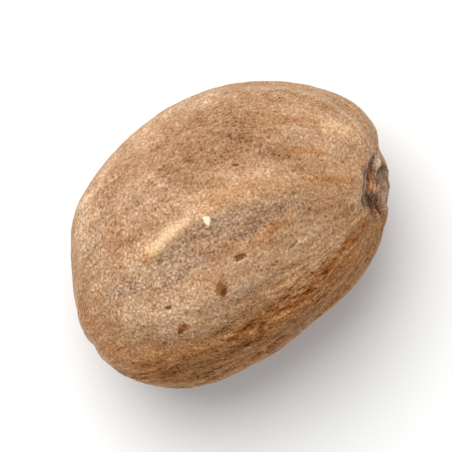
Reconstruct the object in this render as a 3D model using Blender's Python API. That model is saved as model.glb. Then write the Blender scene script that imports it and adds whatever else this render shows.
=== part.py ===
# Whole nutmeg: the shelled, dried seed, as one closed solid lying on a small flat of its own.
# +X runs towards the scar (hilum) end, +Z is up, and the origin is the middle of the box's base.
# Sizes are in millimetres and turn into metres where the mesh is written.

import itertools
import math

import bmesh
import bpy
import numpy as np

MM = 0.001

# The seed: a plump egg, a little bent in plan, with one fuller end
HALF_LENGTH = 13.30
HALF_WIDTH = 9.66
HALF_HEIGHT = 9.56
REST_DEPTH = 0.26
BEND_PIT_END = 1.10
BEND_SCAR_END = 0.45
FULL_PIT_END = 0.030
LEAN_SCAR_END = 0.022
FULLEST_AT = 0.72
FULL_SPREAD = 0.26

# Broad swellings (+) and hollows (-): degrees round in plan, degrees up, spread in degrees, height
SWELLINGS = (
    ("shoulder by the scar", -55.0, 0.0, 21.0, 0.62),
    ("notch before the scar", -15.5, 9.0, 7.0, -0.45),
    ("foot of the notch", -15.5, -4.0, 7.0, -0.35),
    ("blunt tip", 2.0, 0.0, 13.0, 0.24),
    ("hollow above the tip", 42.0, 10.0, 18.0, -0.34),
    ("back shoulder", 123.0, 6.0, 15.0, 0.32),
    ("hollow by the pit end", 146.0, 8.0, 12.0, -0.17),
    ("heel of the pit end", -142.0, -4.0, 20.0, 0.10),
    ("flat of the back", 95.0, 0.0, 9.0, -0.16),
    ("belly of the front", -102.0, 0.0, 8.0, 0.18),
    ("top swelling", 150.0, 52.0, 24.0, 0.20),
    ("top hollow", 18.0, 50.0, 20.0, -0.16),
    ("under swelling", -100.0, -42.0, 26.0, 0.24),
    ("under hollow", 60.0, -38.0, 24.0, -0.20),
)

# Scar: an oval, ragged crater with a low collar, in shares of its own half sizes
SCAR_AT = (10.6, -5.25, 2.9)
SCAR_HALF_SIZES = (2.85, 2.3, 4.5)
SCAR_TILT = -30.0
SCAR_DEPTH = 0.75
SCAR_COLLAR = 0.06
SCAR_COLLAR_AT = 1.05
SCAR_COLLAR_WIDTH = 0.30
SCAR_RAGGED = 0.16
SCAR_CALM = 0.9

# Pit: a shallow round dimple with a soft lip, in shares of its radius
PIT_AT = (-12.3, -1.6, -4.1)
PIT_RADIUS = 1.7
PIT_DEPTH = 0.42
PIT_WIDTH = 0.8
PIT_LIP = 0.10
PIT_LIP_AT = 1.5
PIT_LIP_WIDTH = 0.5

# Ribs (+) and furrows (-) over the upper side: half width, height, and the plan points they pass
LINES = (
    ("spine", 0.95, 0.27, ((-8.4, 1.6), (-5.0, 1.4), (-2.0, 1.3), (1.1, 1.1), (3.5, 0.5), (5.6, -1.3))),
    ("spine furrow", 0.75, -0.22, ((-10.2, 1.0), (-7.4, 0.6), (-4.2, 0.2), (-1.5, -0.2), (1.2, -0.8))),
    ("middle furrow", 0.85, -0.14, ((-8.3, -1.1), (-5.9, -1.5), (-3.8, -1.8), (2.3, -1.9), (6.6, -3.8))),
    ("side crease", 0.55, -0.12, ((4.1, 4.4), (4.9, 3.2), (5.7, 1.5), (6.2, -0.2))),
    ("flank furrow", 0.80, -0.20, ((-10.4, -3.4), (-6.8, -5.6), (-3.0, -6.8), (1.0, -7.5), (7.2, -6.8))),
    ("flank rib", 0.90, 0.20, ((-8.5, -7.2), (-5.5, -8.1), (-0.7, -8.6), (4.6, -8.2), (7.6, -7.1))),
    ("edge furrow", 0.60, -0.16, ((-8.6, 6.0), (-5.3, 8.2), (-1.6, 9.0), (2.6, 8.5), (8.6, 5.6))),
    ("back furrow", 0.90, -0.16, ((-10.2, 3.6), (-7.2, 6.0), (-2.7, 7.3), (2.4, 7.2), (10.0, 3.0))),
)
LINE_STEPS = 7

# Low veins that run from end to end all round, over broad soft lumps
VEIN_HEIGHT = 0.16
VEINS_ROUND = 2.9
VEINS_ALONG = 0.085
VEIN_WANDER = 0.30
LUMP_HEIGHT = 0.22
LUMP_SIZE = 6.5

VEIN_SEED = 11
LUMP_SEED = 23
RAGGED_SEED = 5
NOISE_TABLE = 256
NOISE_GAIN = 1.5

# Squares along each edge of the cube that is swelled into the seed
SQUARES = 26

SKIN_COLOUR = (0.48, 0.27, 0.155, 1.0)
SKIN_ROUGHNESS = 0.72
SKIN_METALLIC = 0.0


def clear_scene():
    for item in list(bpy.data.objects):
        bpy.data.objects.remove(item, do_unlink=True)


# Smooth noise of about -1 to 1, one value for each point
def gradient_noise(points, seed):
    draw = np.random.default_rng(seed)
    order = draw.permutation(NOISE_TABLE)
    slopes = unit(draw.normal(size=(NOISE_TABLE, 3)))
    cell = np.floor(points).astype(int)
    inside = points - cell
    blend = inside**3 * (inside * (inside * 6 - 15) + 10)
    total = np.zeros(len(points))
    for corner in itertools.product((0, 1), repeat=3):
        place = cell + np.array(corner)
        index = order[place[:, 0] % NOISE_TABLE]
        index = order[(index + place[:, 1]) % NOISE_TABLE]
        index = order[(index + place[:, 2]) % NOISE_TABLE]
        share = np.prod(np.where(corner, blend, 1 - blend), axis=1)
        total += share * (slopes[index] * (inside - corner)).sum(axis=1)
    return total * NOISE_GAIN


def bell(distance, width):
    return np.exp(-((distance / width) ** 2))


def unit(vectors):
    return vectors / np.linalg.norm(vectors, axis=-1, keepdims=True)


def half_sizes():
    return np.array((HALF_LENGTH, HALF_WIDTH, HALF_HEIGHT))


def compass(plan_degrees, up_degrees):
    turn = math.radians(plan_degrees)
    rise = math.radians(up_degrees)
    return np.array((math.cos(turn) * math.cos(rise), math.sin(turn) * math.cos(rise), math.sin(rise)))


# The egg before its relief, for unit directions, with its middle at the origin
def plain_body(ways):
    body = ways * half_sizes()
    girth = 1 + FULL_PIT_END * bell(ways[:, 0] + FULLEST_AT, FULL_SPREAD)
    girth -= LEAN_SCAR_END * bell(ways[:, 0] - FULLEST_AT, FULL_SPREAD)
    body[:, 1:] *= girth[:, None]
    bend = np.where(ways[:, 0] < 0, BEND_PIT_END, BEND_SCAR_END)
    body[:, 1] -= bend * ways[:, 0] ** 2
    return body


def swelling_height(ways):
    height = np.zeros(len(ways))
    for _name, plan_degrees, up_degrees, spread, size in SWELLINGS:
        apart = np.arccos(np.clip(ways @ compass(plan_degrees, up_degrees), -1, 1))
        height += size * bell(apart, math.radians(spread))
    return height


# A curve through the plan points, lifted onto the upper side of the egg
def lifted_path(plan_points):
    points = np.array(plan_points, float)
    points = np.vstack((2 * points[0] - points[1], points, 2 * points[-1] - points[-2]))
    path = []
    for before, start, end, after in zip(points, points[1:], points[2:], points[3:]):
        for step in np.arange(LINE_STEPS) / LINE_STEPS:
            lean = (end - before) * step
            sway = (2 * before - 5 * start + 4 * end - after) * step**2
            turn = (3 * start - before - 3 * end + after) * step**3
            path.append(start + (lean + sway + turn) / 2)
    path = np.array(path + [points[-2]])
    across = (path[:, 0] / HALF_LENGTH) ** 2 + (path[:, 1] / HALF_WIDTH) ** 2
    return np.column_stack((path, HALF_HEIGHT * np.sqrt(np.clip(1 - across, 0, 1))))


# How far each point is from the path, and how far along it, 0 to 1, it is nearest
def path_distance(body, path):
    nearest = np.full(len(body), np.inf)
    along = np.zeros(len(body))
    for index, (start, end) in enumerate(zip(path, path[1:])):
        run = end - start
        share = np.clip((body - start) @ run / (run @ run), 0, 1)
        gap = np.linalg.norm(body - start - share[:, None] * run, axis=1)
        closer = gap < nearest
        nearest[closer] = gap[closer]
        along[closer] = (index + share[closer]) / (len(path) - 1)
    return nearest, along


def line_height(body):
    height = np.zeros(len(body))
    for _name, width, size, plan_points in LINES:
        gap, along = path_distance(body, lifted_path(plan_points))
        fade = 2 * np.sqrt(along * (1 - along))
        height += size * bell(gap, width) * fade
    return height


# Coordinates in which plain noise makes streaks from the pit to the scar
def end_to_end(body):
    scar = np.array(SCAR_AT)
    axis = unit(scar - np.array(PIT_AT))
    away = body - (scar - axis * (scar @ axis))
    along = (away @ axis)[:, None]
    return unit(away - along * axis) * VEINS_ROUND + along * VEINS_ALONG


def vein_height(body):
    lumps = gradient_noise(body / LUMP_SIZE + LUMP_SEED, LUMP_SEED)
    wander = gradient_noise(body / LUMP_SIZE, LUMP_SEED)[:, None] * VEIN_WANDER
    veins = 1 - 2 * np.abs(gradient_noise(end_to_end(body) + wander, VEIN_SEED))
    return VEIN_HEIGHT * veins + LUMP_HEIGHT * lumps


# The crater and its collar, and how much of the skin's own relief is left there
def scar_height(body):
    centre = np.array(SCAR_AT)
    out = unit(centre / half_sizes() ** 2)
    level = unit(np.cross((0, 0, 1), out))
    tilt = math.radians(SCAR_TILT)
    side = level * math.cos(tilt) + np.cross(out, level) * math.sin(tilt)
    local = (body - centre) @ np.column_stack((side, np.cross(out, side), out))
    reach = np.linalg.norm(local / np.array(SCAR_HALF_SIZES), axis=1)
    reach += SCAR_RAGGED * gradient_noise(body, RAGGED_SEED)
    crater = -SCAR_DEPTH * np.clip(1 - reach**2, 0, 1)
    collar = SCAR_COLLAR * bell(reach - SCAR_COLLAR_AT, SCAR_COLLAR_WIDTH)
    return crater + collar, 1 - bell(reach, SCAR_CALM)


def pit_height(body):
    reach = np.linalg.norm(body - np.array(PIT_AT), axis=1) / PIT_RADIUS
    return PIT_LIP * bell(reach - PIT_LIP_AT, PIT_LIP_WIDTH) - PIT_DEPTH * bell(reach, PIT_WIDTH)


# The finished skin for unit directions, cut level at the bottom and moved onto the origin
def seed_points(ways):
    body = plain_body(ways)
    scar, left = scar_height(body)
    relief = swelling_height(ways) + (line_height(body) + vein_height(body)) * left
    relief += scar + pit_height(body)
    body += unit(ways / half_sizes()) * relief[:, None]
    body[:, 2] = np.maximum(body[:, 2], REST_DEPTH - HALF_HEIGHT)
    low = body.min(axis=0)
    high = body.max(axis=0)
    return body - np.array(((low[0] + high[0]) / 2, (low[1] + high[1]) / 2, low[2]))


# Unit directions from points on the cube, with the squares spread evenly
def even_directions(corners):
    return unit(np.tan(corners * math.pi / 4))


def swelled_cube():
    shape = bmesh.new()
    bmesh.ops.create_cube(shape, size=2)
    bmesh.ops.subdivide_edges(shape, edges=shape.edges[:], cuts=SQUARES - 1, use_grid_fill=True)
    corners = np.array([vertex.co[:] for vertex in shape.verts])
    for vertex, point in zip(shape.verts, seed_points(even_directions(corners))):
        vertex.co = point * MM
    bmesh.ops.recalc_face_normals(shape, faces=shape.faces[:])
    return shape


def skin_material():
    skin = bpy.data.materials.new("nutmeg_skin")
    skin.use_nodes = True
    shader = skin.node_tree.nodes["Principled BSDF"]
    shader.inputs["Base Color"].default_value = SKIN_COLOUR
    shader.inputs["Roughness"].default_value = SKIN_ROUGHNESS
    shader.inputs["Metallic"].default_value = SKIN_METALLIC
    return skin


def build_nutmeg():
    shape = swelled_cube()
    mesh = bpy.data.meshes.new("nutmeg")
    shape.to_mesh(mesh)
    shape.free()
    mesh.shade_smooth()
    mesh.materials.append(skin_material())
    nutmeg = bpy.data.objects.new("nutmeg", mesh)
    bpy.context.scene.collection.objects.link(nutmeg)


clear_scene()
build_nutmeg()
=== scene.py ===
import itertools
import math

import bmesh
import bpy
import numpy as np
from mathutils import Matrix, Vector


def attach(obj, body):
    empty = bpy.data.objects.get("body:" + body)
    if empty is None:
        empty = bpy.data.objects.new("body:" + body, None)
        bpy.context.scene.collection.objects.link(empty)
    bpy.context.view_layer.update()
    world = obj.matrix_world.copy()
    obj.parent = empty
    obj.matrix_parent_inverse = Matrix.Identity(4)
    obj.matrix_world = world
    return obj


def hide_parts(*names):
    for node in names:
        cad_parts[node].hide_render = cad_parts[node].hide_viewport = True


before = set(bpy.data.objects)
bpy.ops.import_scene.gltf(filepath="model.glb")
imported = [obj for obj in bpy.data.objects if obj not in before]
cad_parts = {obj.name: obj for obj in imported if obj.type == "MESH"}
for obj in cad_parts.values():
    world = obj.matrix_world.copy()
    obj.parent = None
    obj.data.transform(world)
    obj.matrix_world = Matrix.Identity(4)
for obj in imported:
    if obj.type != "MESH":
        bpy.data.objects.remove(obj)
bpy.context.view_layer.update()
print("frame loaded")

millimetre = 0.001
perMillimetre = 1 / millimetre


# plain maths on rows of points

def unit(vectors):
    return vectors / np.linalg.norm(vectors, axis=-1, keepdims=True)


def bell(distance, width):
    return np.exp(-((distance / width) ** 2))


def smoothStep(values, low, high):
    share = np.clip((values - low) / (high - low), 0, 1)
    return share * share * (3 - 2 * share)


noiseTable = 256
noiseGain = 1.5
layerApart = 17  # moves each finer layer of noise off the last


# smooth noise of about -1 to 1, one value for each point
def gradientNoise(points, seed):
    draw = np.random.default_rng(seed)
    order = draw.permutation(noiseTable)
    slopes = unit(draw.normal(size=(noiseTable, 3)))
    cell = np.floor(points).astype(int)
    inside = points - cell
    blend = inside**3 * (inside * (inside * 6 - 15) + 10)  # no kink where cells meet
    total = np.zeros(len(points))
    for corner in itertools.product((0, 1), repeat=3):
        place = cell + np.array(corner)
        index = order[place[:, 0] % noiseTable]
        index = order[(index + place[:, 1]) % noiseTable]
        index = order[(index + place[:, 2]) % noiseTable]
        share = np.prod(np.where(corner, blend, 1 - blend), axis=1)
        total += share * (slopes[index] * (inside - corner)).sum(axis=1)
    return total * noiseGain


def layeredNoise(points, seed, layers=3):
    total = np.zeros(len(points))
    for layer in range(layers):
        total += gradientNoise(points * 2**layer + layerApart * layer, seed + layer) / 2**layer
    return total


# The nutmeg. Sizes in millimetres from its middle, x towards the scar, z up.
nutmeg = {
    "squares": 128,  # along each edge of the cube that is swelled into the seed
    "halfSizes": (13.30, 9.66, 9.56),
    "restDepth": 0.26,  # how deep the flat under it is cut
    "bendPitEnd": 1.10,  # how far each end bends to -Y
    "bendScarEnd": 0.45,
    "fullPitEnd": 0.030,  # shares of the girth, more at the pit end and less at the scar end
    "leanScarEnd": 0.022,
    "fullestAt": 0.72,
    "fullSpread": 0.26,
    # degrees round in plan, degrees up, spread in degrees, height
    "swellings": (
        (-55.0, 0.0, 21.0, 0.62),  # shoulder by the scar
        (-15.5, 9.0, 7.0, -0.45),  # notch before the scar
        (-15.5, -4.0, 7.0, -0.35),
        (2.0, 0.0, 13.0, 0.24),  # blunt tip
        (42.0, 10.0, 18.0, -0.34),
        (123.0, 6.0, 15.0, 0.32),
        (146.0, 8.0, 12.0, -0.17),
        (-142.0, -4.0, 20.0, 0.10),
        (95.0, 0.0, 9.0, -0.16),
        (-102.0, 0.0, 8.0, 0.18),
        (150.0, 52.0, 24.0, 0.20),
        (18.0, 50.0, 20.0, -0.16),
        (-100.0, -42.0, 26.0, 0.24),
        (60.0, -38.0, 24.0, -0.20),
    ),
    "scarAt": (10.6, -5.25, 2.9),
    "scarHalfSizes": (2.85, 2.3, 4.5),
    "scarTilt": -30.0,  # degrees in its own plane
    "scarDepth": 0.75,
    "scarCollar": 0.06,
    "scarCollarAt": 1.05,
    "scarCollarWidth": 0.30,
    "scarRagged": 0.16,
    "scarCalm": 0.9,
    "pitAt": (-12.3, -1.6, -4.1),
    "pitRadius": 1.7,
    "pitDepth": 0.42,
    "pitWidth": 0.8,
    "pitLip": 0.10,
    "pitLipAt": 1.5,
    "pitLipWidth": 0.5,
    # half width, height, and the plan points that the rib or furrow passes
    "lines": (
        (0.95, 0.27, ((-8.4, 1.6), (-5.0, 1.4), (-2.0, 1.3), (1.1, 1.1), (3.5, 0.5), (5.6, -1.3))),
        (0.75, -0.22, ((-10.2, 1.0), (-7.4, 0.6), (-4.2, 0.2), (-1.5, -0.2), (1.2, -0.8))),
        (0.85, -0.14, ((-8.3, -1.1), (-5.9, -1.5), (-3.8, -1.8), (2.3, -1.9), (6.6, -3.8))),
        (0.55, -0.12, ((4.1, 4.4), (4.9, 3.2), (5.7, 1.5), (6.2, -0.2))),
        (0.80, -0.20, ((-10.4, -3.4), (-6.8, -5.6), (-3.0, -6.8), (1.0, -7.5), (7.2, -6.8))),
        (0.90, 0.20, ((-8.5, -7.2), (-5.5, -8.1), (-0.7, -8.6), (4.6, -8.2), (7.6, -7.1))),
        (0.60, -0.16, ((-8.6, 6.0), (-5.3, 8.2), (-1.6, 9.0), (2.6, 8.5), (8.6, 5.6))),
        (0.90, -0.16, ((-10.2, 3.6), (-7.2, 6.0), (-2.7, 7.3), (2.4, 7.2), (10.0, 3.0))),
    ),
    "lineSteps": 7,
    "veinHeight": 0.16,
    "veinsRound": 2.9,
    "veinsAlong": 0.085,
    "veinWander": 0.30,
    "lumpHeight": 0.22,
    "lumpSize": 6.5,
    "veinSeed": 11,
    "lumpSeed": 23,
    "raggedSeed": 5,
}


def halfSizes():
    return np.array(nutmeg["halfSizes"])


def compass(planDegrees, upDegrees):
    turn = math.radians(planDegrees)
    rise = math.radians(upDegrees)
    return np.array((math.cos(turn) * math.cos(rise), math.sin(turn) * math.cos(rise), math.sin(rise)))


# the egg before its relief, for unit directions
def plainBody(ways):
    body = ways * halfSizes()
    girth = 1 + nutmeg["fullPitEnd"] * bell(ways[:, 0] + nutmeg["fullestAt"], nutmeg["fullSpread"])
    girth -= nutmeg["leanScarEnd"] * bell(ways[:, 0] - nutmeg["fullestAt"], nutmeg["fullSpread"])
    body[:, 1:] *= girth[:, None]
    bend = np.where(ways[:, 0] < 0, nutmeg["bendPitEnd"], nutmeg["bendScarEnd"])
    body[:, 1] -= bend * ways[:, 0] ** 2
    return body


def swellingHeight(ways):
    height = np.zeros(len(ways))
    for planDegrees, upDegrees, spread, size in nutmeg["swellings"]:
        apart = np.arccos(np.clip(ways @ compass(planDegrees, upDegrees), -1, 1))
        height += size * bell(apart, math.radians(spread))
    return height


# plan points put onto the upper side of the egg
def lifted(planPoints):
    plan = np.array(planPoints, float)
    across = ((plan / halfSizes()[:2]) ** 2).sum(axis=1)
    return np.column_stack((plan, halfSizes()[2] * np.sqrt(np.clip(1 - across, 0, 1))))


# a smooth curve (Catmull-Rom) through the plan points
def liftedPath(planPoints):
    points = np.array(planPoints, float)
    points = np.vstack((2 * points[0] - points[1], points, 2 * points[-1] - points[-2]))
    path = []
    for before, start, end, after in zip(points, points[1:], points[2:], points[3:]):
        for step in np.arange(nutmeg["lineSteps"]) / nutmeg["lineSteps"]:
            lean = (end - before) * step
            sway = (2 * before - 5 * start + 4 * end - after) * step**2
            turn = (3 * start - before - 3 * end + after) * step**3
            path.append(start + (lean + sway + turn) / 2)
    return lifted(path + [points[-2]])


# how far each point is from the path, and how far along it, 0 to 1, it is nearest
def pathDistance(body, path):
    nearest = np.full(len(body), np.inf)
    along = np.zeros(len(body))
    for index, (start, end) in enumerate(zip(path, path[1:])):
        run = end - start
        share = np.clip((body - start) @ run / (run @ run), 0, 1)
        gap = np.linalg.norm(body - start - share[:, None] * run, axis=1)
        closer = gap < nearest
        nearest[closer] = gap[closer]
        along[closer] = (index + share[closer]) / (len(path) - 1)
    return nearest, along


# each rib and furrow fades out at its ends
def lineHeight(body):
    height = np.zeros(len(body))
    for width, size, planPoints in nutmeg["lines"]:
        gap, along = pathDistance(body, liftedPath(planPoints))
        height += size * bell(gap, width) * 2 * np.sqrt(along * (1 - along))
    return height


# coordinates in which plain noise makes streaks from the pit to the scar
def endToEnd(body, aroundScale, alongScale):
    scar = np.array(nutmeg["scarAt"])
    axis = unit(scar - np.array(nutmeg["pitAt"]))
    away = body - (scar - axis * (scar @ axis))
    along = (away @ axis)[:, None]
    return unit(away - along * axis) * aroundScale + along * alongScale


def veinHeight(body):
    lumps = gradientNoise(body / nutmeg["lumpSize"] + nutmeg["lumpSeed"], nutmeg["lumpSeed"])
    wander = gradientNoise(body / nutmeg["lumpSize"], nutmeg["lumpSeed"])[:, None] * nutmeg["veinWander"]
    streaks = endToEnd(body, nutmeg["veinsRound"], nutmeg["veinsAlong"]) + wander
    veins = 1 - 2 * np.abs(gradientNoise(streaks, nutmeg["veinSeed"]))
    return nutmeg["veinHeight"] * veins + nutmeg["lumpHeight"] * lumps


# how far out from the middle of the scar each point is, in shares of the scar's own size,
# and its place there to the side, up and out in millimetres
def scarReach(body):
    centre = np.array(nutmeg["scarAt"])
    out = unit(centre / halfSizes() ** 2)
    side = unit(np.cross((0, 0, 1), out))
    local = (body - centre) @ np.column_stack((side, np.cross(out, side), out))
    tilt = math.radians(nutmeg["scarTilt"])
    long = local[:, 0] * math.cos(tilt) + local[:, 1] * math.sin(tilt)
    wide = local[:, 1] * math.cos(tilt) - local[:, 0] * math.sin(tilt)
    tilted = np.column_stack((long, wide, local[:, 2]))
    reach = np.linalg.norm(tilted / np.array(nutmeg["scarHalfSizes"]), axis=1)
    return reach + nutmeg["scarRagged"] * gradientNoise(body, nutmeg["raggedSeed"]), local


def scarHeight(reach):
    crater = -nutmeg["scarDepth"] * np.clip(1 - reach**2, 0, 1)
    collar = nutmeg["scarCollar"] * bell(reach - nutmeg["scarCollarAt"], nutmeg["scarCollarWidth"])
    return crater + collar


def pitHeight(body):
    reach = np.linalg.norm(body - np.array(nutmeg["pitAt"]), axis=1) / nutmeg["pitRadius"]
    lip = nutmeg["pitLip"] * bell(reach - nutmeg["pitLipAt"], nutmeg["pitLipWidth"])
    return lip - nutmeg["pitDepth"] * bell(reach, nutmeg["pitWidth"])


# What the skin carries on top of the solid's form, in millimetres
skinRelief = {
    # larger around and along is finer; shows is how much darker a thing makes the colours
    "furrows": {"around": 7.5, "along": 0.13, "width": 0.10, "depth": 0.075, "seed": 41},
    "wrinkles": {"around": 17.0, "along": 0.26, "width": 0.15, "depth": 0.035, "shows": 0.7, "seed": 50},
    "ridges": {"away": 0.24, "share": 0.45, "shows": 0.25, "fineShows": 0.2},
    "furrowsShowMost": 1.2,
    "wander": {"size": 3.6, "swing": 0.22},
    "quiet": 0.12,  # how much of the furrows the smooth upper side keeps
    "endsShare": 0.35,  # how much of them the two ends have
    "underMore": 0.5,  # how much deeper they run underneath
    # patches in which all of them, or one kind, are stronger or weaker
    "roughPatches": {"size": 3.0, "middle": 0.75, "swing": 0.8, "most": 1.3, "seed": 41},
    "furrowPatches": {"size": 0.85, "middle": 0.62, "swing": 1.25, "most": 1.3, "seed": 59},
    "wrinklePatches": {"size": 2.2, "middle": 0.6, "swing": 1.2, "most": 1.4, "seed": 56},
    # how far towards -Y the flank begins, and is fully reached; at the heel it turns round the pit end
    "flank": {"from": (4.6, 7.6), "size": 1.6, "swing": 0.6, "seed": 71, "heelFrom": 6.0, "heelTurn": 0.45},
    "underFrom": (-1.5, 3.5),  # the same, down from the middle, for the furrows and for the brown
    "brownFrom": (0.3, 6.0),
    "endsFrom": (8.5, 12.0),  # towards both ends
    "speckleFrom": (2.0, 7.5),  # towards the pit
    "grain": {"size": 0.40, "layers": 2, "height": 0.016, "shows": 0.3, "seed": 44},
    "pebbles": {"size": 1.2, "height": 0.018, "seed": 47},
    "pinholes": {"count": 70, "radius": (0.09, 0.16), "depth": 0.12, "showsOnTop": 0.5, "seed": 41},
    "scarEdge": {"outer": 1.10, "inner": 0.92, "size": 0.4, "swing": 0.07, "seed": 62},
    "fibreAlong": 0.16,  # larger makes the streaks of colour shorter
    "weaveAlong": 0.5,
    # plan point, half length, half width, turn in degrees, depth
    "holes": (
        ((3.24, 2.47), 0.28, 0.12, -38, 0.08),
        ((-0.82, -2.96), 0.52, 0.21, -12, 0.22),
        ((-7.2, -2.4), 0.25, 0.17, -20, 0.14),
        ((2.74, -4.72), 0.46, 0.12, 5, 0.07),
        ((8.0, -5.3), 0.27, 0.19, 50, 0.05),
    ),
    "holeReach": 3,  # how far a hole marks the skin above and below it, in half lengths
    "darkHole": 0.085,  # a hole this deep shows fully dark
    # the same, with how strong the stain is last
    "stains": (
        ((-3.34, -3.90), 0.58, 0.44, 50, 0.85),
        ((-2.95, -3.38), 0.42, 0.22, 52, 0.42),
        ((-7.4, -4.24), 0.44, 0.22, -5, 1.00),
        ((-1.9, -4.1), 0.60, 0.30, 0, 0.22),
        ((-2.4, -2.2), 0.80, 0.20, 10, 0.22),
    ),
    "stainCores": (
        ((-3.36, -4.12), 0.34, 0.29, 10, 0.95),
        ((-3.30, -3.88), 0.46, 0.37, 50, 0.45),
        ((-7.66, -4.30), 0.25, 0.20, 0, 0.75),
        ((-7.12, -4.14), 0.19, 0.16, 0, 0.60),
    ),
    "specks": (
        ((-0.97, 0.63), 0.31, 0.24, 58, 1.0),
        ((-1.02, 0.86), 0.14, 0.12, 0, 1.0),
        ((-1.08, 0.38), 0.16, 0.11, 58, 1.0),
    ),
}

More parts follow.
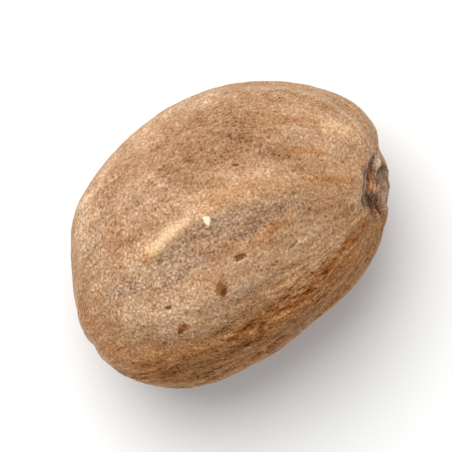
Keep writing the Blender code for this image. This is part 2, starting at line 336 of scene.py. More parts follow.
# Where the skin is paler, greyer, darker or warmer: plan points, half width, strength. The cream and some
# pale patches also paint a highlight, and some of the darker patches, on the lower flank, paint shade.
skinPatches = {
    # cream along the spine ridge: paler skin and a painted highlight where the ridge would catch the light
    "cream": (
        (((-5.9, 1.35), (-4.8, 1.5), (-3.4, 1.55), (-1.6, 1.5)), 0.37, 1.0),
    ),
    "pale": (
        # these two along the spine: paler skin and a painted highlight on the ridge
        (((-8.0, 1.6), (-4.6, 1.9), (-1.2, 1.8)), 0.75, 0.65),
        (((-2.6, 1.6), (-0.4, 1.5), (2.4, 0.9), (4.2, 0.0), (5.6, -1.5)), 1.05, 1.05),
        (((-11.6, 2.0), (-9.6, 2.0), (-7.6, 2.6)), 1.20, 0.40),
        (((8.2, -3.0), (10.2, -3.0), (12.2, -1.2)), 1.60, 0.50),
        # along the upper-left edge: a paler fold and a painted highlight on the lit edge
        (((-10.9, 3.6), (-7.8, 7.0), (-4.8, 8.6), (-2.0, 9.1), (2.4, 9.0), (7.0, 7.3)), 1.20, 1.05),
        (((-13.2, -1.5), (-12.9, 1.2), (-11.6, 4.4)), 1.10, 0.25),
        (((-8.6, -2.6), (-7.2, -2.7), (-5.8, -2.6)), 1.00, 0.85),
        (((1.2, -4.9), (2.8, -4.8), (4.6, -4.6)), 0.80, 0.55),
        (((-12.2, 0.0), (-11.0, -3.0), (-9.0, -4.9)), 0.90, 0.25),
        (((-8.5, -7.2), (-5.5, -8.1), (-0.7, -8.6), (4.6, -8.2), (7.6, -7.1)), 0.40, 0.30),
        (((8.0, 3.0), (9.4, -0.2), (9.6, -2.6)), 1.20, 0.30),
        (((-8.6, -2.9), (-5.0, -3.2), (-1.4, -4.2), (2.4, -5.0), (5.0, -5.2)), 1.10, 0.42),
        (((-6.6, -0.3), (-4.6, -0.7), (-2.9, -1.1)), 0.40, 0.30),
        (((-1.6, -6.5), (2.5, -6.8), (7.0, -6.3)), 1.10, 1.20),
        (((-10.4, -0.6), (-9.0, -1.0), (-7.8, -1.6)), 1.00, 0.95),
        (((9.8, 0.8), (11.2, -0.4), (12.2, -1.8)), 1.20, 1.50),
        (((7.6, -5.2), (9.4, -4.8), (10.6, -4.2)), 0.90, 0.80),
        (((-5.2, 6.4), (-3.0, 5.6), (-2.0, 4.0)), 1.50, 0.32),
    ),
    "grey": (
        (((-7.4, 0.3), (-5.3, 0.15), (-3.8, 0.1), (-2.6, 0.05), (-1.6, -0.1), (-0.7, -0.3), (1.3, -0.8)),
         0.85, 0.90),
        (((-0.4, -0.35), (0.9, -0.7), (2.4, -1.15), (3.3, -1.9), (4.2, -2.9)), 0.85, 0.66),
        (((-10.4, 1.1), (-9.2, 0.8), (-8.0, 0.35), (-6.8, 0.0)), 0.50, 0.80),
        (((-7.2, -0.4), (-6.0, -0.8), (-4.8, -1.0), (-2.4, -1.3), (-0.6, -1.7)), 0.70, 0.70),
        (((-0.6, -1.55), (0.7, -1.85), (2.1, -2.1)), 0.45, 0.80),
        (((4.0, -1.8), (5.4, -3.2)), 0.70, 0.30),
        (((-5.0, -3.9), (-2.0, -4.8), (0.8, -5.4)), 0.60, 0.25),
        (((4.1, 4.4), (4.9, 3.2), (5.7, 1.5), (6.2, -0.2)), 0.45, 0.15),
        (((-9.6, 4.2), (-7.2, 5.8), (-4.2, 6.8)), 1.10, 0.30),
        (((-4.8, 5.6), (-3.0, 5.0), (-1.8, 3.8)), 1.60, 0.30),
    ),
    # darker patches: darker skin, and on the lower flank painted shade
    "dusky": (
        (((-0.6, -1.55), (0.7, -1.85), (2.1, -2.1)), 0.35, 0.60),
        (((4.8, 2.8), (6.2, 1.6), (7.0, 0.2)), 1.10, 1.10),
        # these two on the lower flank: painted shade over its browner skin
        (((-11.0, -4.6), (-9.0, -6.2), (-5.4, -7.9), (-1.4, -8.9), (2.4, -9.0)), 1.5, 1.50),
        (((-6.6, -6.0), (-3.0, -7.0), (1.0, -7.6)), 0.7, 0.7),
        (((-1.9, 4.8), (0.4, 5.2), (3.4, 5.0), (6.5, 3.2)), 2.4, 1.50),
        (((-1.6, -4.4), (0.2, -4.9), (1.6, -5.2)), 0.80, 0.55),
        (((-8.2, 4.9), (-5.2, 7.0), (-1.6, 7.8), (2.4, 7.6), (7.0, 5.6)), 0.55, 0.45),
        (((-1.6, 7.5), (0.6, 7.3), (3.8, 6.9), (6.8, 5.0)), 0.95, 0.95),
        (((2.6, 3.5), (4.6, 2.3), (6.0, 0.5), (7.4, -1.2)), 0.45, 0.55),
        (((5.4, -7.1), (7.0, -6.9), (8.6, -6.4)), 0.30, 1.00),
    ),
    "warm": (
        (((6.6, 1.1), (8.0, 0.1), (9.3, -1.0)), 0.35, 0.9),
        (((7.2, 3.4), (8.8, 2.4), (10.4, 1.2)), 0.35, 0.8),
        (((6.2, -1.2), (7.8, -2.6), (9.6, -4.2)), 0.50, 0.9),
        (((5.0, 5.2), (8.0, 3.4)), 0.9, 0.2),
        (((-1.8, 1.4), (0.4, 1.3), (2.6, 0.8), (4.2, -0.2), (5.4, -1.6)), 0.9, 0.55),
        (((9.8, 0.8), (11.2, -0.4), (12.2, -1.8)), 1.1, 0.5),
        (((-6.6, 1.2), (-5.0, 1.6)), 0.5, 0.8),
        (((-2.8, -1.8), (-1.6, -2.0), (-0.2, -2.4)), 0.30, 0.6),
        (((0.6, -2.6), (2.5, -2.9), (4.2, -3.1)), 0.5, 0.7),
        (((-8.6, 5.6), (-5.4, 7.8), (-2.0, 8.4)), 0.22, 0.9),
        (((-3.4, 7.1), (0.6, 7.5), (4.2, 6.6)), 0.7, 0.2),
        (((-12.4, 3.6), (-12.6, 0.0), (-11.4, -3.2), (-8.8, -5.0)), 1.9, 0.85),
        (((7.2, -6.4), (8.8, -6.3), (9.8, -6.0)), 0.7, 0.9),
        (((5.4, -7.1), (7.0, -6.9), (8.6, -6.4)), 0.45, 1.0),
        (((5.6, -4.8), (8.4, -3.9), (11.4, -2.4)), 1.6, 0.5),
        (((-10.6, -4.0), (-5.5, -6.8), (-0.6, -7.9), (5.0, -7.6), (9.4, -6.2)), 0.9, 0.5),
    ),
    # where the darks are short dashes
    "cracked": (
        (((-7.4, -5.7), (-4.9, -6.6), (-2.9, -7.35), (-0.5, -7.5), (1.8, -7.85), (3.6, -7.9)), 0.90, 1.00),
        (((5.0, -7.2), (7.0, -6.9), (8.6, -6.4)), 0.50, 0.70),
    ),
}
patchEdges = {
    "ragged": 0.35,
    "raggedSize": 1.1,
    "raggedLayers": 2,
    "fade": 0.12,  # share of a patch's length in which it fades out at each end
    "power": 2,  # of the edge's fall: larger is sharper
    "greyPower": 4,
    "seed": 77,
}


# an oval hole in the upper side: 1 in its middle, 0 well outside
def ovalHole(body, planPoint, halfLong, halfWide, turnDegrees):
    turn = math.radians(turnDegrees)
    away = body - lifted([planPoint])[0]
    along = away[:, 0] * math.cos(turn) + away[:, 1] * math.sin(turn)
    across = away[:, 1] * math.cos(turn) - away[:, 0] * math.sin(turn)
    drop = away[:, 2] / (skinRelief["holeReach"] * halfLong)
    return np.exp(-((along / halfLong) ** 2) - (across / halfWide) ** 2 - drop**2)


def holeDepth(body):
    deepest = np.zeros(len(body))
    for planPoint, halfLong, halfWide, turn, depth in skinRelief["holes"]:
        deepest = np.maximum(deepest, depth * ovalHole(body, planPoint, halfLong, halfWide, turn))
    return deepest


def pinholeMask(body):
    pinholes = skinRelief["pinholes"]
    draw = np.random.default_rng(pinholes["seed"])
    mask = np.zeros(len(body))
    for way in unit(draw.normal(size=(pinholes["count"], 3))):
        radius = draw.uniform(*pinholes["radius"])
        spot = plainBody(way[None, :])[0]
        mask = np.maximum(mask, bell(np.linalg.norm(body - spot, axis=1), radius))
    return mask


# furrows or wrinkles that wander from end to end, and the ridges beside them
def furrowLines(body, lines):
    wander = layeredNoise(body / skinRelief["wander"]["size"], lines["seed"])[:, None]
    wander = wander * skinRelief["wander"]["swing"] * math.sqrt(lines["around"])
    noise = gradientNoise(endToEnd(body, lines["around"], lines["along"]) + wander, lines["seed"])
    ridges = bell(np.abs(noise) - skinRelief["ridges"]["away"], lines["width"])
    return bell(noise, lines["width"]), ridges


def inPatches(body, patches):
    noise = gradientNoise(body / patches["size"], patches["seed"])
    return np.clip(patches["middle"] + patches["swing"] * noise, 0, patches["most"])


# what makes a border ragged
def raggedness(body, edge):
    return edge["swing"] * gradientNoise(body / edge["size"], edge["seed"])


def patchMask(body, name):
    mask = np.zeros(len(body))
    edge = layeredNoise(body / patchEdges["raggedSize"], patchEdges["seed"], patchEdges["raggedLayers"])
    fade = patchEdges["fade"]
    power = patchEdges["greyPower" if name == "grey" else "power"]
    for planPoints, width, strength in skinPatches[name]:
        gap, along = pathDistance(body, liftedPath(planPoints))
        ends = smoothStep(along, 0, fade) * smoothStep(-along, -1, fade - 1)
        off = np.abs(gap * (1 + patchEdges["ragged"] * edge) / width)
        mask = np.maximum(mask, strength * ends * np.exp(-(off**power)))
    return mask


# a cube cut into squares, and the way out to each of its points, where a tangent keeps them even
def swelledCube(squares):
    shape = bmesh.new()
    bmesh.ops.create_cube(shape, size=2)
    bmesh.ops.subdivide_edges(shape, edges=shape.edges[:], cuts=squares - 1, use_grid_fill=True)
    corners = np.array([vertex.co[:] for vertex in shape.verts])
    return shape, unit(np.tan(corners * math.pi / 4))


def writeAttribute(mesh, name, values):
    kind, key = ("FLOAT_VECTOR", "vector") if values.ndim == 2 else ("FLOAT", "value")
    mesh.attributes.new(name, kind, "POINT").data.foreach_set(key, values.astype(np.float32).ravel())


# What fills the scar, in its own plane, with places to the side and up in millimetres
scarFace = {
    # place, half sizes, height, and how much paler it is
    "marks": (
        # a raised pinkish lip: paler skin and a painted highlight
        ((1.95, -0.6), (0.40, 0.60), 0.30, 0.62),
        ((1.60, -1.7), (0.30, 0.45), 0.10, -0.12),
        ((1.40, 0.7), (0.60, 0.50), -0.15, -0.14),
        # darker towards the body: the scar's own dark and a painted shadow along its wall
        ((-1.15, -0.3), (0.48, 0.85), -0.25, -0.46),
        ((-1.30, 1.6), (0.50, 0.50), -0.15, -0.20),
        ((0.05, -0.2), (0.42, 0.75), 0.20, 0.42),
        ((0.60, 0.2), (0.60, 0.50), 0.05, 0.04),
        ((0.10, -1.4), (1.30, 0.80), 0.04, 0.12),
        ((-2.20, 1.2), (0.50, 0.80), 0.08, 0.02),
        ((-1.90, -0.2), (0.60, 0.80), 0.10, 0.14),
    ),
    # place and half sizes
    "greys": (
        ((0.3, -1.9), (1.50, 0.65)),
        ((-2.3, 1.5), (0.55, 0.80)),
        ((0.8, 1.8), (1.00, 0.40)),
    ),
    "warms": (
        ((0.05, -0.2), (0.50, 0.85)),
        ((0.8, 0.3), (0.80, 0.45)),
        ((-2.0, -0.3), (0.60, 0.80)),
    ),
    "fibres": (0.8, 3.0, 1.3),  # to the side, up and in; larger is finer
    "fibreHeight": 0.15,
    "fibreTone": 0.30,
    "seed": 53,
}


# a spot in the scar: 1 in its middle, 0 well outside
def scarOval(local, place, sizes):
    side = (local[:, 0] - place[0]) / sizes[0]
    up = (local[:, 1] - place[1]) / sizes[1]
    return np.exp(-(side**2) - up**2)


def scarOvals(local, spots):
    return np.clip(sum(scarOval(local, place, sizes) for place, sizes in spots), 0, 1)


# height and tone of what fills the scar
def scarFilling(local):
    fibres = layeredNoise(local * np.array(scarFace["fibres"]), scarFace["seed"])
    height = scarFace["fibreHeight"] * fibres
    tone = scarFace["fibreTone"] * fibres
    for place, sizes, rise, paler in scarFace["marks"]:
        spot = scarOval(local, place, sizes)
        height += rise * spot
        tone += paler * spot
    return height, tone


# height of what the solid has too
def formHeight(ways, body, reach):
    calm = 1 - bell(reach, nutmeg["scarCalm"])
    height = swellingHeight(ways) + (lineHeight(body) + veinHeight(body)) * calm
    return height + (scarHeight(reach) + pitHeight(body))


# how far each point is on the flank, and on the underside
def sides(body):
    edge = skinRelief["flank"]
    heel = edge["heelTurn"] * np.clip(-body[:, 0] - edge["heelFrom"], 0, None)
    flank = smoothStep(heel - body[:, 1] + raggedness(body, edge), *edge["from"])
    return flank, smoothStep(-body[:, 2], *skinRelief["underFrom"])


# how strong the furrows are: faint on the upper side, strongest underneath
def furrowStrength(body, flank, under):
    relief = skinRelief
    ends = smoothStep(np.abs(body[:, 0]), *relief["endsFrom"])
    share = np.maximum(np.maximum(flank, under), relief["endsShare"] * ends)
    strength = relief["quiet"] + (1 - relief["quiet"]) * share
    return strength * (inPatches(body, relief["roughPatches"]) * (1 + relief["underMore"] * under))


# the skin's points in millimetres, and what its colours follow
def growSkin(ways):
    relief = skinRelief
    furrows = relief["furrows"]
    wrinkles = relief["wrinkles"]
    ridges = relief["ridges"]
    grains = relief["grain"]
    pebbles = relief["pebbles"]
    pinholes = relief["pinholes"]
    body = plainBody(ways)
    reach, scarLocal = scarReach(body)
    flank, under = sides(body)
    strength = furrowStrength(body, flank, under)
    furrow, ridge = furrowLines(body, furrows)
    wrinkle, fineRidge = furrowLines(body, wrinkles)
    furrow = furrow * inPatches(body, relief["furrowPatches"])
    wrinkle = wrinkle * inPatches(body, relief["wrinklePatches"])
    furrow, ridge, wrinkle, fineRidge = (strength * lines for lines in (furrow, ridge, wrinkle, fineRidge))
    grain = layeredNoise(body / grains["size"], grains["seed"], grains["layers"])
    pebble = gradientNoise(body / pebbles["size"], pebbles["seed"])
    pinhole = pinholeMask(body)
    fine = grains["height"] * grain + pebbles["height"] * pebble
    fine -= furrows["depth"] * furrow + wrinkles["depth"] * wrinkle
    fine += ridges["share"] * (furrows["depth"] * ridge + wrinkles["depth"] * fineRidge)
    fine -= holeDepth(body) + pinholes["depth"] * pinhole

    edge = relief["scarEdge"]
    inScar = smoothStep(raggedness(body, edge) - reach, -edge["outer"], -edge["inner"])
    scarRise, scarTone = scarFilling(scarLocal)
    fine = fine * (1 - inScar) + inScar * scarRise

    dark = np.clip(furrow + wrinkles["shows"] * wrinkle, 0, relief["furrowsShowMost"])
    onTop = pinholes["showsOnTop"]
    masks = {
        "furrow": dark - ridges["shows"] * ridge - ridges["fineShows"] * fineRidge,
        "pinhole": pinhole * (onTop + (1 - onTop) * np.maximum(flank, under)),
        "scar": inScar,
        "scarTone": scarTone,
        "scarGrey": scarOvals(scarLocal, scarFace["greys"]),
        "scarWarm": scarOvals(scarLocal, scarFace["warms"]),
        "form": grain * grains["shows"] + pebble,
        "underside": smoothStep(-body[:, 2], *relief["brownFrom"]),
        "flank": flank,
        "speckle": smoothStep(-body[:, 0], *relief["speckleFrom"]) * (1 - flank),
        "fibre": endToEnd(body, halfSizes()[1], relief["fibreAlong"]),
        "weave": endToEnd(body, halfSizes()[1], relief["weaveAlong"]),
    }
    for name in skinPatches:
        masks[name] = patchMask(body, name)
    height = formHeight(ways, body, reach) + fine
    skin = body + unit(ways / halfSizes()) * height[:, None]
    skin[:, 2] = np.maximum(skin[:, 2], nutmeg["restDepth"] - halfSizes()[2])
    return skin, masks


# what puts the box's middle on the origin and its base on the floor, as the solid has them
def frameShift(points):
    low = points.min(axis=0)
    high = points.max(axis=0)
    return np.array(((low[0] + high[0]) / 2, (low[1] + high[1]) / 2, low[2]))


shape, ways = swelledCube(nutmeg["squares"])
skinPoints, masks = growSkin(ways)
shift = frameShift(skinPoints)
for vertex, point in zip(shape.verts, (skinPoints - shift) * millimetre):
    vertex.co = point
bmesh.ops.recalc_face_normals(shape, faces=shape.faces[:])
mesh = bpy.data.meshes.new("nutmegSkin")
shape.to_mesh(mesh)
shape.free()
mesh.shade_smooth()
for name, values in masks.items():
    writeAttribute(mesh, name, values)
skinPiece = bpy.data.objects.new("nutmegSkin", mesh)
bpy.context.scene.collection.objects.link(skinPiece)
print("nutmeg:", 2 * len(mesh.polygons), "triangles")


# a socket in a shader, with the operators that are written on it
class Wire:
    def __init__(self, graph, socket):
        self.graph = graph
        self.socket = socket

    def worked(self, operation, first, second):
        return self.graph.node("ShaderNodeMath", {"operation": operation}, {0: first, 1: second})

    def __add__(self, other):
        return self.worked("ADD", self, other)

    def __radd__(self, other):
        return self.worked("ADD", other, self)

    def __sub__(self, other):
        return self.worked("SUBTRACT", self, other)

    def __rsub__(self, other):
        return self.worked("SUBTRACT", other, self)

    def __mul__(self, other):
        return self.worked("MULTIPLY", self, other)

    def __rmul__(self, other):
        return self.worked("MULTIPLY", other, self)


noiseMiddle = 0.5
mixFirst, mixSecond, mixed = 6, 7, 2  # the colour sockets of a Mix node


# a material's nodes
class Graph:
    def __init__(self, name):
        self.material = bpy.data.materials.new(name)
        self.material.use_nodes = True
        self.tree = self.material.node_tree
        self.shader = self.tree.nodes["Principled BSDF"]

    def fill(self, made, values):
        for key, value in values.items():
            if isinstance(value, Wire):
                self.tree.links.new(value.socket, made.inputs[key])
            else:
                made.inputs[key].default_value = value

    def node(self, kind, settings, values, output=0):
        made = self.tree.nodes.new(kind)
        for key, value in settings.items():
            if key == "stops":
                self.setStops(made.color_ramp.elements, value)
            else:
                setattr(made, key, value)
        self.fill(made, values)
        return Wire(self, made.outputs[output])

    def setStops(self, elements, stops):
        while len(elements) < len(stops):
            elements.new(1)
        for element, (place, colour) in zip(elements, stops):
            element.position = place
            element.color = colour

    def attribute(self, name, output="Fac"):
        return self.node("ShaderNodeAttribute", {"attribute_name": name}, {}, output)

    def noise(self, place, scale, detail, roughness, distortion):
        values = {"Vector": place, "Scale": scale, "Detail": detail, "Roughness": roughness}
        values["Distortion"] = distortion
        return self.node("ShaderNodeTexNoise", {}, values)

    # 1 where the noise crosses its middle, 0 further off than the width: a net of thin lines
    def threads(self, noise, width):
        off = self.node("ShaderNodeMath", {"operation": "ABSOLUTE"}, {0: noise - noiseMiddle})
        return 1 - self.between(off, 0.0, width)

    def ramp(self, share, stops):
        return self.node("ShaderNodeValToRGB", {"stops": stops}, {0: share})

    # share of the way from low to high, 0 to 1
    def between(self, value, low, high):
        values = {"Value": value, "From Min": low, "From Max": high}
        return self.node("ShaderNodeMapRange", {"clamp": True}, values)

    def most(self, first, second):
        return self.node("ShaderNodeMath", {"operation": "MAXIMUM"}, {0: first, 1: second})

    def dot(self, place, way):
        return self.node("ShaderNodeVectorMath", {"operation": "DOT_PRODUCT"}, {0: place, 1: way}, "Value")

    def mix(self, share, first, second, blend="MIX"):
        settings = {"data_type": "RGBA", "blend_type": blend, "clamp_factor": True}
        return self.node("ShaderNodeMix", settings, {0: share, mixFirst: first, mixSecond: second}, mixed)

    # the colour times a tint, as far as the share goes
    def tint(self, share, colour, tint):
        return self.mix(share, colour, self.mix(1.0, colour, tint, "MULTIPLY"))


# The skin's colours. Tones run from 0, the darkest, to 1, and a strength is how far a noise or
# a mask moves the tone. Where a strength is a pair, the second is the flank's.
skinPaint = {
    "tones": (
        (0.00, (0.075, 0.022, 0.005, 1)),
        (0.20, (0.165, 0.063, 0.016, 1)),
        (0.42, (0.304, 0.147, 0.060, 1)),
        (0.60, (0.402, 0.226, 0.120, 1)),
        (0.75, (0.494, 0.298, 0.174, 1)),
        (0.88, (0.612, 0.394, 0.244, 1)),
        (1.00, (0.775, 0.555, 0.370, 1)),
    ),
    "greyTones": (
        (0.00, (0.060, 0.034, 0.022, 1)),
        (0.22, (0.140, 0.086, 0.057, 1)),
        (0.48, (0.300, 0.187, 0.121, 1)),
        (0.65, (0.420, 0.268, 0.178, 1)),
        (0.85, (0.620, 0.405, 0.262, 1)),
        (1.00, (0.820, 0.600, 0.400, 1)),
    ),
    "scarTones": (
        (0.00, (0.046, 0.024, 0.014, 1)),
        (0.30, (0.140, 0.066, 0.033, 1)),
        (0.50, (0.285, 0.145, 0.078, 1)),
        (0.70, (0.400, 0.240, 0.150, 1)),
        (0.85, (0.560, 0.370, 0.255, 1)),
        (1.00, (0.800, 0.560, 0.400, 1)),
    ),
    # scale, where larger is finer, then detail, roughness and distortion
    "stippleNoise": (4.8 * perMillimetre, 1.0, 0.5, 0.0),
    "gritNoise": (9.0 * perMillimetre, 0.0, 0.5, 0.0),
    "poreNoise": (3.4 * perMillimetre, 0.0, 0.5, 0.0),
    "patchNoise": (0.22 * perMillimetre, 3.0, 0.5, 0.0),
    "scarNoise": (2.3 * perMillimetre, 4.0, 0.65, 0.0),
    # the same on coordinates that run from end to end
    "weaveNoise": (1.7, 2.0, 0.55, 0.4),
    "streakNoise": (1.9, 3.0, 0.55, 0.25),
    "bandNoise": (0.75, 1.0, 0.5, 0.3),
    "squiggleNoise": (1.4, 1.0, 0.5, 1.2),
    "creaseNoise": (0.9, 1.0, 0.5, 0.9),
    "dashNoise": (2.6, 1.0, 0.5, 0.6),
    "hueNoise": (0.5, 2.0, 0.5, 0.5),
    "middleTone": 0.655,
    "stippleStrength": 0.80,
    "speckleMore": 0.30,  # at the pit end, and in the grey
    "greySpeckleMore": 0.35,
    "gritStrength": 0.40,
    "weaveStrength": 0.30,
    "streakStrength": (0.44, 0.66),
    "patchStrength": 0.20,
    "bandStrength": 0.24,
    "squiggleWidth": 0.022,
    "squiggleStrength": (0.04, 0.12),
    "creaseWidth": 0.026,
    "creaseStrength": (0.06, 0.30),
    "pores": (0.68, 0.76),  # the part of the noise that shows, from none to full
    "poreStrength": 0.17,
    "dashes": (0.55, 0.66),
    "dashStrength": 0.35,
    "beads": (0.45, 0.34),
    "beadStrength": 0.14,
    "flankDashes": 0.30,
    "furrowStrength": 0.25,
    "reliefStrength": 0.03,
    # how far the pale patches raise the tone, painted highlight among them
    "paleAndHighlightStrength": 0.15,
    # how far the cream, with its painted highlight, raises the tone
    "creamHighlightStrength": 0.19,
    # how far the darker patches, painted shade among them, lower the tone
    "duskyAndShadeStrength": 0.12,
    "greyStrength": 0.07,
    "rimStrength": 0.15,
    "greyShare": 0.85,
    # how much greyer the darker patches and their painted shade make the skin off the flank
    "duskyAndShadeGrey": 0.12,
    "hue": (0.46, 0.66),
    "hueShare": 0.30,
    "warm": (1.00, 0.80, 0.58, 1),
    "flankBrown": (0.89, 0.72, 0.50, 1),
    "undersideBrown": (0.88, 0.72, 0.55, 1),
    # the colour of the spine's cream and its painted highlight
    "cream": (0.88, 0.600, 0.320, 1),
    "creamHighlightShare": 0.45,
    "marksFrom": (9.0, 11.0),  # heights in millimetres between which the marks come in
    "markRagged": 2.2,
    # share of that raggedness, then where the mark is full and where it ends, 1 on its oval
    "holeEdge": (0.8, 0.7, 1.5),
    "rimEdge": (1.0, 1.3, 3.6),
    "stainEdge": (1.0, 0.7, 1.8),
    "stainCoreEdge": (0.7, 0.2, 1.6),
    "speckEdge": (0.6, 0.75, 1.25),
    "hole": (0.150, 0.043, 0.010, 1),
    "holeShare": 0.9,
    "stain": (0.330, 0.112, 0.022, 1),
    "stainShare": 0.95,
    "stainCore": (0.108, 0.031, 0.007, 1),
    "speck": (0.86, 0.80, 0.58, 1),
    "scarMiddleTone": 0.46,
    "scarStrength": 1.2,
    "scarGritStrength": 0.9,
    "scarGrey": (0.270, 0.200, 0.152, 1),
    "scarGreyShare": 0.40,
    "scarWarm": (1.000, 0.700, 0.470, 1),
    "roughness": (0.60, 0.92),  # where the tone is pale, and where it is dark
    "roughTones": (0.3, 0.9),
    "specular": 0.12,
    "sheen": 0.18,
    "sheenRoughness": 0.35,
    "sheenTint": (1.00, 0.80, 0.56, 1),
    "bumpStrength": 0.5,
    "bumpHeight": 0.06 * millimetre,
    "bumpStipple": 0.6,
    "bumpWeave": 0.4,
    "bumpPores": 0.3,
    "bumpDashes": 0.5,
}


# how far a noise moves the tone, up or down
def swing(noise, strength):
    return (noise - noiseMiddle) * strength


# a value on the upper side that becomes another on the flank
def byFlank(flank, pair):
    onTop, onFlank = pair
    return onTop + flank * (onFlank - onTop)


# an oval mark on the upper side: 1 inside it, fading to 0 from one reach to another
def paintedOval(skin, place, oval, ragged, full, none):
    planPoint, halfLong, halfWide, turnDegrees = oval
    turn = math.radians(turnDegrees)
    longWay = (math.cos(turn), math.sin(turn))
    wideWay = (-math.sin(turn), math.cos(turn))
    centre = np.array(planPoint) - shift[:2]
    squares = 0.0
    for half, way in ((halfLong, longWay), (halfWide, wideWay)):
        scale = 1 / (millimetre * half)
        off = skin.dot(place, (way[0] * scale, way[1] * scale, 0)) - float(centre @ way) / half
        squares = off * off + squares
    return skin.between(squares + ragged, none, full)


# every mark of a kind, each with its own strength
def paintedMarks(skin, place, marks, ragged, edge):
    share, full, none = edge
    ragged = ragged * share
    covered = 0.0
    for *oval, strength in marks:
        covered = skin.most(covered, paintedOval(skin, place, oval, ragged, full, none) * strength)
    return covered


# the holes as marks, darker where they are deeper
def darkHoles():
    return [(*oval, min(1.0, depth / skinRelief["darkHole"])) for *oval, depth in skinRelief["holes"]]


def paintScar(skin, place, grit):
    paint = skinPaint
    tone = paint["scarMiddleTone"] + swing(skin.noise(place, *paint["scarNoise"]), paint["scarStrength"])
    tone = tone + swing(grit, paint["scarGritStrength"]) + skin.attribute("scarTone")
    colour = skin.ramp(tone, paint["scarTones"])
    colour = skin.mix(skin.attribute("scarGrey") * paint["scarGreyShare"], colour, paint["scarGrey"])
    return skin.tint(skin.attribute("scarWarm"), colour, paint["scarWarm"])


def paintSkin():
    paint = skinPaint
    skin = Graph("nutmegSkin")
    place = skin.node("ShaderNodeTexCoord", {}, {}, "Object")
    fibre = skin.attribute("fibre", "Vector")
    weave = skin.attribute("weave", "Vector")
    grey = skin.attribute("grey")
    dusky = skin.attribute("dusky")
    cream = skin.attribute("cream")
    flank = skin.attribute("flank")
    stipple = skin.noise(place, *paint["stippleNoise"])
    grit = skin.noise(place, *paint["gritNoise"])
    patches = skin.noise(place, *paint["patchNoise"])
    pores = skin.between(skin.noise(place, *paint["poreNoise"]), *paint["pores"])
    woven = skin.noise(weave, *paint["weaveNoise"])
    streaks = skin.noise(fibre, *paint["streakNoise"])
    bands = skin.noise(fibre, *paint["bandNoise"])
    squiggles = skin.threads(skin.noise(weave, *paint["squiggleNoise"]), paint["squiggleWidth"])
    creases = skin.threads(skin.noise(weave, *paint["creaseNoise"]), paint["creaseWidth"])
    dashNoise = skin.noise(weave, *paint["dashNoise"])
    dashes = skin.between(dashNoise, *paint["dashes"])
    beads = skin.between(dashNoise, *paint["beads"])
    cracked = skin.most(skin.attribute("cracked"), flank * paint["flankDashes"])

    upper = skin.between(skin.dot(place, (0, 0, perMillimetre)), *paint["marksFrom"])
    ragged = swing(stipple, paint["markRagged"])
    hole = paintedMarks(skin, place, darkHoles(), ragged, paint["holeEdge"]) * upper
    rim = paintedMarks(skin, place, darkHoles(), ragged, paint["rimEdge"]) * upper
    stain = paintedMarks(skin, place, skinRelief["stains"], ragged, paint["stainEdge"]) * upper
    stainCore = paintedMarks(skin, place, skinRelief["stainCores"], ragged, paint["stainCoreEdge"]) * upper
    speck = paintedMarks(skin, place, skinRelief["specks"], ragged, paint["speckEdge"]) * upper

    speckle = 1 + skin.attribute("speckle") * paint["speckleMore"] + grey * paint["greySpeckleMore"]
    tone = paint["middleTone"] + swing(stipple, paint["stippleStrength"]) * speckle
    tone = tone + swing(grit, paint["gritStrength"])
    tone = tone + swing(woven, paint["weaveStrength"])
    tone = tone + swing(streaks, byFlank(flank, paint["streakStrength"]))
    tone = tone + swing(patches, paint["patchStrength"]) + swing(bands, paint["bandStrength"])
    tone = tone + squiggles * byFlank(flank, paint["squiggleStrength"])
    tone = tone - creases * byFlank(flank, paint["creaseStrength"]) - pores * paint["poreStrength"]
    tone = tone + cracked * (beads * paint["beadStrength"] - dashes * paint["dashStrength"])
    # paler skin, with a painted highlight along the spine and the upper-left edge
    tone = tone + skin.attribute("pale") * paint["paleAndHighlightStrength"] - grey * paint["greyStrength"]
    # the cream raises the tone for the spine's paler skin and its painted highlight
    tone = tone + cream * paint["creamHighlightStrength"] + rim * paint["rimStrength"]
    # darker skin, and painted shade on the lower flank
    tone = tone - dusky * paint["duskyAndShadeStrength"] - skin.attribute("furrow") * paint["furrowStrength"]
    tone = tone + skin.attribute("form") * paint["reliefStrength"]

    colour = skin.ramp(tone, paint["tones"])
    # the darker patches, painted shade among them, are also greyer off the flank
    greyShare = grey * paint["greyShare"] + dusky * (1 - flank) * paint["duskyAndShadeGrey"]
    colour = skin.mix(greyShare, colour, skin.ramp(tone, paint["greyTones"]))
    hue = skin.between(skin.noise(weave, *paint["hueNoise"]), *paint["hue"])
    warmth = skin.most(skin.attribute("warm"), hue * paint["hueShare"])
    colour = skin.tint(warmth, colour, paint["warm"])
    colour = skin.tint(flank, colour, paint["flankBrown"])
    colour = skin.tint(skin.attribute("underside"), colour, paint["undersideBrown"])
    # the cream colour over the spine: paler skin and a painted highlight
    colour = skin.mix(cream * paint["creamHighlightShare"], colour, paint["cream"])
    colour = skin.mix(stain * paint["stainShare"], colour, paint["stain"])
    colour = skin.mix(stainCore, colour, paint["stainCore"])
    sunken = skin.most(hole, skin.attribute("pinhole"))
    colour = skin.mix(sunken * paint["holeShare"], colour, paint["hole"])
    colour = skin.mix(speck, colour, paint["speck"])
    colour = skin.mix(skin.attribute("scar"), colour, paintScar(skin, place, grit))

    low, high = paint["roughness"]
    rough = low + (1 - skin.between(tone, *paint["roughTones"])) * (high - low)
    grain = stipple * paint["bumpStipple"] + woven * paint["bumpWeave"]
    grain = grain - pores * paint["bumpPores"] - cracked * dashes * paint["bumpDashes"]
    bump = skin.node("ShaderNodeBump", {}, {
        "Strength": paint["bumpStrength"],
        "Distance": paint["bumpHeight"],
        "Height": grain,
    })
    skin.fill(skin.shader, {
        "Base Color": colour,
        "Roughness": rough,
        "Normal": bump,
        "Specular IOR Level": paint["specular"],
        "Sheen Weight": paint["sheen"],
        "Sheen Roughness": paint["sheenRoughness"],
        "Sheen Tint": paint["sheenTint"],
    })
    return skin.material


mesh.materials.append(paintSkin())
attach(skinPiece, "root")
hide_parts("nutmeg")
print("skin painted")

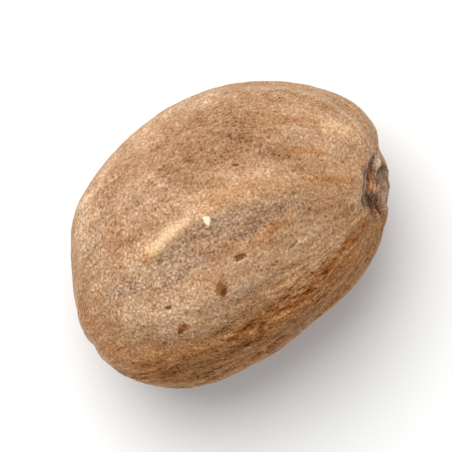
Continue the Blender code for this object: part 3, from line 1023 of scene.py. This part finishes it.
# Floor, light and camera, in metres
stage = {
    "floorSize": 4.0,
    "floorColour": (0.90, 0.90, 0.90, 1),
    "floorRoughness": 0.9,
    "skyStrength": 0.55,
    "skyColour": (0.93, 0.97, 1.00, 1),
    "keyColour": (1.00, 0.985, 0.955),
    "keyWatts": 14.2,
    "keySize": 1.1,
    "keyDistance": 1.2,
    "keyTurn": 120.0,  # degrees round from the right of the view
    "keyRise": 62.0,
    "axisTurn": 39.66,  # degrees that the long axis rises to the right in view
    "distance": 0.333,
    "leanDown": 0.020,  # how far off straight above the camera stands
    "leanRight": 0.005,
    "aimHeight": 0.0095,
    "frameWidth": 0.034,
    "nearest": 0.01,
}
turn = math.radians(stage["axisTurn"])
viewRight = Vector((math.cos(turn), -math.sin(turn), 0))
viewUp = Vector((math.sin(turn), math.cos(turn), 0))

bpy.ops.mesh.primitive_plane_add(size=stage["floorSize"])
floor = bpy.context.object
floor.name = "floor"
paper = Graph("floorPaper")
paper.fill(paper.shader, {"Base Color": stage["floorColour"], "Roughness": stage["floorRoughness"]})
floor.data.materials.append(paper.material)

studio = bpy.data.worlds.new("studio")
bpy.context.scene.world = studio
studio.use_nodes = True
sky = studio.node_tree.nodes["Background"]
sky.inputs["Color"].default_value = stage["skyColour"]
sky.inputs["Strength"].default_value = stage["skyStrength"]

around = math.radians(stage["keyTurn"])
rise = math.radians(stage["keyRise"])
keyWay = (viewRight * math.cos(around) + viewUp * math.sin(around)) * math.cos(rise)
keyWay = keyWay + Vector((0, 0, math.sin(rise)))
key = bpy.data.lights.new("key", "AREA")
key.shape = "DISK"
key.size = stage["keySize"]
key.energy = stage["keyWatts"]
key.color = stage["keyColour"]
keyHolder = bpy.data.objects.new("key", key)
bpy.context.scene.collection.objects.link(keyHolder)
keyHolder.location = keyWay * stage["keyDistance"]
keyHolder.rotation_euler = keyWay.to_track_quat("Z", "Y").to_euler()

camera = bpy.data.cameras.new("camera")
camera.clip_start = stage["nearest"]
cameraHolder = bpy.data.objects.new("camera", camera)
bpy.context.scene.collection.objects.link(cameraHolder)
aim = Vector((0, 0, stage["aimHeight"]))
lean = viewRight * stage["leanRight"] - viewUp * stage["leanDown"]
back = lean + Vector((0, 0, stage["distance"]))
camera.lens = camera.sensor_width * back.length / stage["frameWidth"]
right = viewUp.cross(back).normalized()
axes = Matrix((right, back.normalized().cross(right), back.normalized())).transposed()
cameraHolder.matrix_world = Matrix.Translation(aim + back) @ axes.to_4x4()
bpy.context.scene.camera = cameraHolder
bpy.context.scene.view_settings.view_transform = "Standard"
print("stage set")
